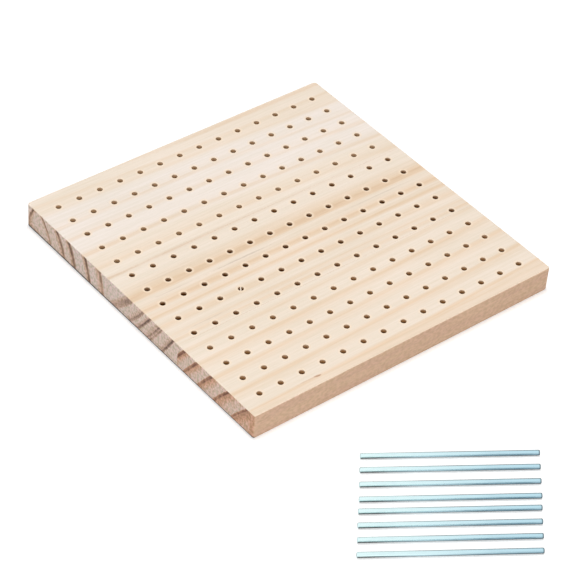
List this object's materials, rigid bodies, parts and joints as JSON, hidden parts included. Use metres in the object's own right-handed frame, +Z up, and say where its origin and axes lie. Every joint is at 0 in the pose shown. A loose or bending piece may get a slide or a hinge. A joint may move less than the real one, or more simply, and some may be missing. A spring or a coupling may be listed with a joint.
{
  "type": "blocking board",
  "caption": "Square edge-glued pine blocking board with a grid of blind peg holes, and loose steel pins lying beside it.",
  "frame": {"origin": "centre of the panel's underside, on the surface that the panel and the loose pins lie on", "axes": "+X along the wood's grain, +Y towards the back edge, away from the loose pins, +Z up out of the drilled work face"},
  "size_m": [0.209, 0.3401, 0.015],
  "materials": {
    "pale_pine": "planed and sanded, no lacquer",
    "warm_pine": "planed and sanded, no lacquer",
    "straw_pine": "planed and sanded, no lacquer",
    "steel": "bright drawn stainless bar"
  },
  "bodies": {
    "panel": {"back_stave": "pale_pine", "middle_stave": "warm_pine", "front_stave": "straw_pine"},
    "pin_1": {"steel_pin_1": "steel"},
    "pin_2": {"steel_pin_2": "steel"},
    "pin_3": {"steel_pin_3": "steel"},
    "pin_4": {"steel_pin_4": "steel"},
    "pin_5": {"steel_pin_5": "steel"},
    "pin_6": {"steel_pin_6": "steel"},
    "pin_7": {"steel_pin_7": "steel"},
    "pin_8": {"steel_pin_8": "steel"}
  },
  "joints": [
    {"name": "pin_1_lift", "type": "slide", "parent": "panel", "child": "pin_1", "axis": [0, 0, 1], "range_m": [0, 0.065]},
    {"name": "pin_2_lift", "type": "slide", "parent": "panel", "child": "pin_2", "axis": [0, 0, 1], "range_m": [0, 0.065]},
    {"name": "pin_3_lift", "type": "slide", "parent": "panel", "child": "pin_3", "axis": [0, 0, 1], "range_m": [0, 0.065]},
    {"name": "pin_4_lift", "type": "slide", "parent": "panel", "child": "pin_4", "axis": [0, 0, 1], "range_m": [0, 0.065]},
    {"name": "pin_5_lift", "type": "slide", "parent": "panel", "child": "pin_5", "axis": [0, 0, 1], "range_m": [0, 0.065]},
    {"name": "pin_6_lift", "type": "slide", "parent": "panel", "child": "pin_6", "axis": [0, 0, 1], "range_m": [0, 0.065]},
    {"name": "pin_7_lift", "type": "slide", "parent": "panel", "child": "pin_7", "axis": [0, 0, 1], "range_m": [0, 0.065]},
    {"name": "pin_8_lift", "type": "slide", "parent": "panel", "child": "pin_8", "axis": [0, 0, 1], "range_m": [0, 0.065]}
  ]
}
